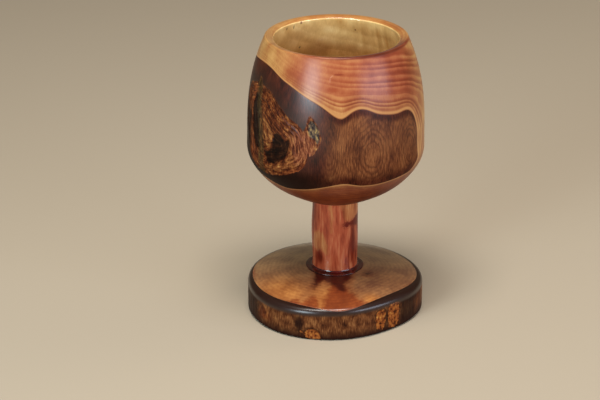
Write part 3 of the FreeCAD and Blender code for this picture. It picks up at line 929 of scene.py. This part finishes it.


# A pin knot, scratch, worm's hole or painted highlight on a small knot: an oval at its place on the outside
# or in the hollow, 1 within it and 0 outside. Hollow and outside are kept apart by a step of 50 mm along a
# third axis
def smallMark(tree, field, mark):
    angle, height, halfWidth, halfHeight, tilt, _, inHollow = mark
    apart = 50.0
    farSide = product(tree, [field["inside"], apart])
    flat = addNode(tree, "CombineXYZ", {}, {"X": field["arc"], "Y": field["height"], "Z": farSide})
    moved = addNode(tree, "Mapping", {
        "vector_type": "TEXTURE",
        "Location": (np.radians(angle) * bowl["bellyRadius"], height, apart * inHollow),
        "Rotation": (0, 0, np.radians(tilt)),
        "Scale": (halfWidth, halfHeight, 1),
    }, {"Vector": flat})
    ragged = grain(tree, flat, (0.8, 0.8, 0), 2)
    reach = addNode(tree, "VectorMath", {"operation": "LENGTH"}, {0: moved})
    uneven = addNode(tree, "Math", {"operation": "MULTIPLY_ADD", 1: 0.9}, {0: ragged, 2: reach.outputs[1]})
    return addNode(tree, "MapRange", {"interpolation_type": "SMOOTHSTEP", "From Min": 0.8, "From Max": 1.9,
                                      "To Min": 0.85, "To Max": 0.0}, {"Value": uneven})


# Bark left on the side of the bowl, sanded flat and lacquered: dark corky rings round the rim of the patch,
# brown fibrous inner bark with the eyes of old buds, and flakes of the outer bark in tan and black
def makeBarkMaterial():
    names = [*bark["outlines"], "arc", "height", "eyes", "shade", "black", "ember", "green", "bared",
             "outskirt", "sheen"]
    material, tree, field = newMaterial("cherryBarkSandedLacquered", names)
    flat = addNode(tree, "CombineXYZ", {}, {"X": field["arc"], "Y": field["height"]})
    followed = addNode(tree, "CombineXYZ", {}, {"X": field["flaky"], "Y": field["height"], "Z": field["arc"]})
    fibres = grain(tree, flat, (0.45, 3.5, 0), 4, 0.65)
    broad = grain(tree, flat, (6, 12, 0), 2)
    clumps = grain(tree, flat, (2.6, 4, 0), 3, 0.6)
    crumbs = grain(tree, flat, (1.3, 1.9, 0), 2, 0.5)
    ragged = grain(tree, flat, (0.8, 2.2, 0), 5, 0.65)
    speckle = grain(tree, flat, (0.7, 1.0, 0), 5, 0.7)
    streaks = grain(tree, followed, (0.9, 5, 3), 5, 0.7)
    innerTone = summed(tree, [(fibres, 0.6), (broad, 0.4)])
    flakeTone = summed(tree, [(streaks, 0.5), (fibres, 0.25), (clumps, 0.25)])
    leafTone = summed(tree, [(crumbs, 0.45), (streaks, 0.3), (fibres, 0.25)])
    salmonTone = summed(tree, [(streaks, 0.65), (speckle, 0.1), (fibres, 0.25)])
    eyePhase = summed(tree, [(field["eyes"], 3.6), (broad, 2.0), (clumps, 1.0), (fibres, 0.5)])
    eyeShare = addNode(tree, "Math", {"operation": "FRACT"}, {0: eyePhase})
    ramps = {
        "brown": (innerTone, [(0.36, "#3A1A0E"), (0.5, "#6A3B20"), (0.64, "#8C5832")]),
        "eyeLine": (eyeShare, [(0, 0.35), (0.2, 0.65), (0.5, 0.12), (0.8, 0.0), (1, 0.35)]),
        "eyeReach": (product(tree, [field["eyes"], 0.33]),
                     [(0.1, 0.1), (0.22, 0.95), (0.34, 0.9), (0.8, 0.4)]),
        "shade": (innerTone, [(0.38, "#200A05"), (0.52, "#42190D"), (0.66, "#5E2E1A")]),
        "flakes": (flakeTone, [(0.38, "#100502"), (0.45, "#30130A"), (0.52, "#5C2C14"), (0.58, "#86502A"),
                               (0.65, "#C49250")]),
        "greenish": (fibres, [(0.38, "#1C130C"), (0.52, "#40301A"), (0.66, "#66542C")]),
        "black": (flakeTone, [(0.42, "#080403"), (0.57, "#1E0E08"), (0.72, "#4E2C18")]),
        "tan": (flakeTone, [(0.4, "#3E1C0E"), (0.48, "#6C3A1E"), (0.55, "#8E5A30"), (0.64, "#B88A4C")]),
        "leaf": (leafTone, [(0.4, "#281009"), (0.48, "#542818"), (0.56, "#84502E"), (0.64, "#B88A50")]),
        "core": (leafTone, [(0.38, "#161214"), (0.46, "#3A302C"), (0.54, "#6A5640"), (0.62, "#9C824C")]),
        "salmon": (salmonTone, [(0.42, "#341409"), (0.49, "#683420"), (0.57, "#925A3A"), (0.65, "#BC8854")]),
        "ember": (flakeTone, [(0.38, "#1E0B06"), (0.48, "#6A3016"), (0.6, "#A05C30")]),
    }
    paint = {key: addNode(tree, "ValToRGB", {"ramp": stops}, {0: source})
             for key, (source, stops) in ramps.items()}
    # how far the noise moves each edge, and between which values it steps
    steps = {
        "flaky": (ragged, 2.2, -0.2, 0.25),
        "shade": (clumps, 0.35, 0.1, 1.0),
        "slab": (ragged, 2.4, -0.2, 0.5),
        "hole": (ragged, 3.0, -0.2, 0.5),
        "pale": (ragged, 3.6, -0.5, 0.6),
        "leaf": (ragged, 1.2, -0.15, 0.2),
        "leafCore": (speckle, 1.6, -0.2, 0.3),
        "bared": (ragged, 0.8, 0.2, 0.8),
        "green": (ragged, 1.0, 0.2, 0.9),
    }
    within = {key: raggedStep(tree, field[key], *step) for key, step in steps.items()}
    lifted = addNode(tree, "Math", {"operation": "MAXIMUM"}, {0: within["flaky"], 1: within["leaf"]})
    colour = layered(tree, paint["brown"], [
        (product(tree, [paint["eyeLine"], paint["eyeReach"]]), "#32140B"),
        (within["shade"], paint["shade"]),
        # painted shade low on the left, and the dark seam over the flakes
        (field["black"], "#170905"),
        (within["flaky"], paint["flakes"]),
        (product(tree, [field["ember"], within["flaky"]]), paint["ember"]),
        (field["outskirt"], paint["black"]),
        (product(tree, [within["pale"], within["flaky"], 0.75]), paint["tan"]),
        (product(tree, [within["slab"], 0.95]), paint["black"]),
        (product(tree, [within["green"], within["flaky"], 0.6]), paint["greenish"]),
        (product(tree, [within["hole"], 0.92]), paint["black"]),
        (within["leaf"], paint["leaf"]),
        (product(tree, [within["bared"], lifted]), paint["salmon"]),
        (within["leafCore"], paint["core"]),
    ])
    smooth = addNode(tree, "MapRange", {"To Min": 1.0, "To Max": 0.2}, {"Value": lifted})
    height = summed(tree, [(streaks, 1.2), (fibres, 1.0)])
    lacquer = {"Roughness": 0.5, "Specular IOR Level": 0.03, "Coat Roughness": 0.33}
    coat = product(tree, [smooth, field["sheen"]])
    finishSurface(tree, colour, height, 0.035, lacquer, {"Coat Weight": coat})
    return material


# The foot's top, cut across the log and lacquered: close growth rings round its heart, a warm stain that has
# crept in from the edge, and dark resin drawn into the grain near the stem
def makeFootMaterial():
    names = ["depth", "angle", "stain", "soot", "gold", "dim"]
    material, tree, field = newMaterial("cherryEndGrainLacquered", names)
    place = field["place"]
    wobble = grain(tree, place, (18, 18, 18), 2)
    cloud = grain(tree, place, (10, 10, 10), 3)
    ragged = grain(tree, place, (2.2, 2.2, 2.2), 4, 0.6)
    mottle = grain(tree, place, (1.6, 1.6, 1.6), 3, 0.55)
    rings = summed(tree, [(field["depth"], 3.4), (wobble, 10.0)])
    wave = addNode(tree, "Math", {"operation": "SINE"}, {0: rings})
    tone = summed(tree, [(cloud, 0.5), (mottle, 0.25), (wave, 0.022), (field["dim"], 0.08)])
    # light, middle and dark of each wood
    woods = {
        "plain": ("#A8764A", "#8C5E3A", "#6A402A"),
        # painted reflection of the backdrop on the back of the top
        "backdropHaze": ("#A88256", "#906E4A", "#765238"),
        "gold": ("#B87A3E", "#9C5F2E", "#80461F"),
        "warm": ("#8A3E18", "#702B0F", "#581D0A"),
        "sooty": ("#52170A", "#360A05", "#220503"),
    }
    paint = {key: addNode(tree, "ValToRGB", {"ramp": list(zip((0.24, 0.37, 0.52), shades))}, {0: tone})
             for key, shades in woods.items()}
    turned = addNode(tree, "Math", {"operation": "ABSOLUTE"}, {0: field["angle"]})
    behind = addNode(tree, "MapRange", {"interpolation_type": "SMOOTHSTEP", "From Min": 60, "From Max": 130},
                     {"Value": turned})
    stain = raggedStep(tree, field["stain"], ragged, 5.0, -2.2, 1.4)
    soot = raggedStep(tree, field["soot"], ragged, 6.0, -1.6, 2.2)
    halo = raggedStep(tree, field["soot"], ragged, 6.0, -5.0, 0.6)
    colour = layered(tree, paint["plain"], [
        # painted reflection of the backdrop: paler and greyer behind the stem
        (behind, paint["backdropHaze"]),
        (field["gold"], paint["gold"]),
        (product(tree, [halo, 0.45]), paint["warm"]),
        (product(tree, [stain, 0.85]), paint["warm"]),
        (soot, paint["sooty"]),
    ])
    finishSurface(tree, colour, tone, 0.02, {"Roughness": 0.4, "Specular IOR Level": 0.3, "Coat Weight": 0.7,
                                             "Coat Roughness": 0.13})
    return material


# Bark left on round the foot: dark and polished along the top edge, fibrous brown down the side, with corky
# patches where the outer bark has broken away
def makeFootBarkMaterial():
    names = ["arc", "height", "patch", "side", "dark", "ember"]
    material, tree, field = newMaterial("cherryBarkEdgeLacquered", names)
    flat = addNode(tree, "CombineXYZ", {}, {"X": field["arc"], "Y": field["height"]})
    fibres = grain(tree, flat, (0.5, 3, 0), 4, 0.65)
    broad = grain(tree, flat, (4, 5, 0), 2)
    ragged = grain(tree, flat, (1.2, 1.6, 0), 4, 0.6)
    pits = grain(tree, flat, (1.5, 1.9, 0), 3, 0.55)
    tone = summed(tree, [(fibres, 0.55), (broad, 0.45)])
    crumb = summed(tree, [(pits, 0.8), (fibres, 0.2)])
    ramps = {
        "brown": (tone, [(0.36, "#240E06"), (0.46, "#4E2914"), (0.56, "#704425"), (0.66, "#92643A")]),
        "cork": (crumb, [(0.36, "#180704"), (0.42, "#54270F"), (0.5, "#80431D"), (0.6, "#985C28"),
                         (0.7, "#BE8E48")]),
        "ember": (tone, [(0.36, "#30110A"), (0.5, "#642A12"), (0.64, "#905024")]),
    }
    paint = {key: addNode(tree, "ValToRGB", {"ramp": stops}, {0: source})
             for key, (source, stops) in ramps.items()}
    patch = raggedStep(tree, field["patch"], ragged, 2.4, -0.2, 0.3)
    rimmed = raggedStep(tree, field["patch"], ragged, 2.4, -1.1, -0.3)
    dark = raggedStep(tree, field["dark"], ragged, 0.7, 0.1, 0.8)
    onTop = addNode(tree, "MapRange", {"interpolation_type": "SMOOTHSTEP", "To Min": 1.0, "To Max": 0.0},
                    {"Value": field["side"]})
    # painted shade, darker towards the floor
    floorShade = addNode(tree, "MapRange", {"From Min": 1.4, "From Max": 5.2, "To Min": 0.95, "To Max": 0.0},
                  {"Value": field["height"]})
    colour = layered(tree, paint["brown"], [
        (product(tree, [dark, 0.85]), "#1C0B07"),
        (product(tree, [field["ember"], 0.85]), paint["ember"]),
        (floorShade, "#220C07"),
        (onTop, "#241009"),
        (product(tree, [rimmed, 0.6]), "#1E0C06"),
        (patch, paint["cork"]),
    ])
    height = summed(tree, [(pits, 0.8), (fibres, 1.0)])
    coat = addNode(tree, "MapRange", {"To Min": 0.12, "To Max": 1.0}, {"Value": onTop})
    lacquer = {"Roughness": 0.5, "Specular IOR Level": 0.02, "Coat Roughness": 0.3}
    finishSurface(tree, colour, height, 0.04, lacquer, {"Coat Weight": coat})
    return material


# A peeled and lacquered branch: red heartwood with streaks up it, paler where the knife went in to the
# sapwood, and a dark knot
def makeStemMaterial():
    names = ["arc", "height", "knot", "pale", "deep"]
    material, tree, field = newMaterial("cherryBranchPeeledLacquered", names)
    flat = addNode(tree, "CombineXYZ", {}, {"X": field["arc"], "Y": field["height"]})
    fibres = grain(tree, flat, (0.8, 9, 0), 2, 0.5)
    streaks = grain(tree, flat, (3.0, 16, 0), 3, 0.55)
    ragged = grain(tree, flat, (1.6, 3, 0), 4, 0.6)
    gnarled = grain(tree, flat, (1.3, 1.0, 0), 4, 0.6)
    tone = summed(tree, [(fibres, 0.35), (streaks, 0.65)])
    # light, middle and dark of each wood
    woods = {
        "red": ("#B46844", "#9E482C", "#802E1A"),
        "pale": ("#BA8250", "#A06034", "#8A4826"),
        "deep": ("#782310", "#621405", "#4A0B03"),
    }
    paint = {key: addNode(tree, "ValToRGB", {"ramp": list(zip((0.36, 0.5, 0.64), shades))}, {0: tone})
             for key, shades in woods.items()}
    pale = raggedStep(tree, field["pale"], ragged, 2.6, -0.9, 1.1)
    knot = raggedStep(tree, field["knot"], gnarled, 3.6, -0.9, 0.9)
    colour = layered(tree, paint["red"], [
        # dark streaks in the wood, and painted shade on the stem's sides
        (raggedStep(tree, field["deep"], streaks, 1.6, -0.1, 0.9), paint["deep"]),
        (product(tree, [pale, 0.78]), paint["pale"]),
        (product(tree, [knot, 0.95]), "#560A03"),
    ])
    lacquer = {"Roughness": 0.42, "Specular IOR Level": 0.04, "Coat Weight": 0.42, "Coat Roughness": 0.18}
    finishSurface(tree, colour, tone, 0.025, lacquer)
    return material


# Dark tinted resin, cast in place: nearly black-red in the body, glossy, with a faint cloudiness
def makeResinMaterial():
    material, tree, field = newMaterial("epoxyResinTinted", [])
    cloud = grain(tree, field["place"], (3, 3, 1.5), 2)
    colour = addNode(tree, "ValToRGB", {"ramp": [(0.35, "#2C0706"), (0.7, "#560F0C")]}, {0: cloud})
    finishSurface(tree, colour, cloud, 0.05, {"Roughness": 0.25, "Coat Weight": 0.5, "Coat Roughness": 0.08})
    return material


resinMaterial = makeResinMaterial()
makeBowl(makeBowlMaterial("cherryTurnedLacquered", 0.52,
                          {"Roughness": 0.5, "Specular IOR Level": 0.08, "Coat Roughness": 0.28}),
         makeBowlMaterial("cherryHollowedPolished", 1.0,
                          {"Roughness": 0.35, "Specular IOR Level": 0.5, "Coat Roughness": 0.06}))
makeBowlBark(makeBarkMaterial())
makeStem(makeStemMaterial())
makeFoot(makeFootMaterial())
makeFootBark(makeFootBarkMaterial())
makeFootResin(resinMaterial)
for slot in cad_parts["bowl_joint_resin"].material_slots:
    slot.material = resinMaterial
print("pieces made and finished")

studio = {
    "floor": "#ADA18D",
    "floorSize": 1.6,
    "sky": ("#E8E0D2", 0.2),
    # name, azimuth from the front towards +X, elevation, distance, size, watts, colour
    "lamps": [
        ("windowLeft", -34, 15, 0.9, (0.28, 0.38), 5.8, "#DCEEF8"),
        ("windowRight", 54, 12, 1.1, (0.8, 0.36), 6.6, "#E4ECFF"),
        ("fillRight", 112, 20, 1.2, (0.8, 0.8), 4.0, "#FFF2E0"),
        ("overhead", -10, 72, 1.0, (0.6, 0.3), 11.4, "#FBF4EE"),
    ],
    "unmirrored": ["fillRight"],        # lamps that light the wood without a reflection in its coat
    "cameraAt": (0.0, -0.913974, 0.426236),
    "cameraTurn": (67.738681, -0.073508, 1.038335),        # degrees round X, Y and Z
    "lens": 129.45,
}


# A floor that rises behind the chalice in a quarter circle, so that no corner shows
def makeStage():
    size = studio["floorSize"]
    turn = np.linspace(0, np.pi / 2, 13)
    bend = 0.4
    y = np.r_[-3 * size, size + bend * np.sin(turn), size + bend]
    z = np.r_[0, bend * (1 - np.cos(turn)), 3.0]
    x = np.array([-3.0, 3.0]) * size
    points = np.stack([np.tile(x, len(y)), np.repeat(y, 2), np.repeat(z, 2)], -1)
    step = 2 * np.arange(len(y) - 1)
    faces = np.stack([step, step + 1, step + 3, step + 2], -1)
    mesh = bpy.data.meshes.new("studioFloor")
    mesh.from_pydata(points.tolist(), [], faces.tolist())
    mesh.polygons.foreach_set("use_smooth", np.ones(len(faces), bool))
    material = bpy.data.materials.new("paperSweep")
    material.use_nodes = True
    tree = material.node_tree
    tree.nodes.clear()
    shader = addNode(tree, "BsdfPrincipled", {"Base Color": linear(studio["floor"]), "Roughness": 0.85,
                                              "Specular IOR Level": 0.2})
    addNode(tree, "OutputMaterial", {}, {"Surface": shader})
    mesh.materials.append(material)
    floor = bpy.data.objects.new("studioFloor", mesh)
    bpy.context.scene.collection.objects.link(floor)


def makeLights():
    colour, strength = studio["sky"]
    world = bpy.data.worlds.new("studioAir")
    bpy.context.scene.world = world
    world.use_nodes = True
    sky = world.node_tree.nodes["Background"]
    sky.inputs["Color"].default_value = linear(colour)
    sky.inputs["Strength"].default_value = strength
    aim = Vector((0, 0, 0.07))
    for name, azimuth, elevation, distance, size, watts, tint in studio["lamps"]:
        lamp = bpy.data.lights.new(name, "AREA")
        lamp.shape = "RECTANGLE"
        lamp.size, lamp.size_y = size
        lamp.energy = watts
        lamp.color = linear(tint)[:3]
        around, up = np.radians(azimuth), np.radians(elevation)
        away = Vector((np.sin(around) * np.cos(up), -np.cos(around) * np.cos(up), np.sin(up)))
        holder = bpy.data.objects.new(name, lamp)
        holder.location = aim + away * distance
        holder.rotation_euler = away.to_track_quat("Z", "Y").to_euler()
        holder.visible_glossy = name not in studio["unmirrored"]
        bpy.context.scene.collection.objects.link(holder)


def makeCamera():
    camera = bpy.data.cameras.new("camera")
    camera.lens, camera.sensor_width = studio["lens"], 36
    camera.clip_start, camera.clip_end = 0.01, 20
    holder = bpy.data.objects.new("camera", camera)
    holder.location = studio["cameraAt"]
    holder.rotation_euler = np.radians(studio["cameraTurn"])
    bpy.context.scene.collection.objects.link(holder)
    bpy.context.scene.camera = holder


makeStage()
makeLights()
makeCamera()
bpy.context.scene.view_settings.view_transform = "Standard"
print("stage, lights and camera set")
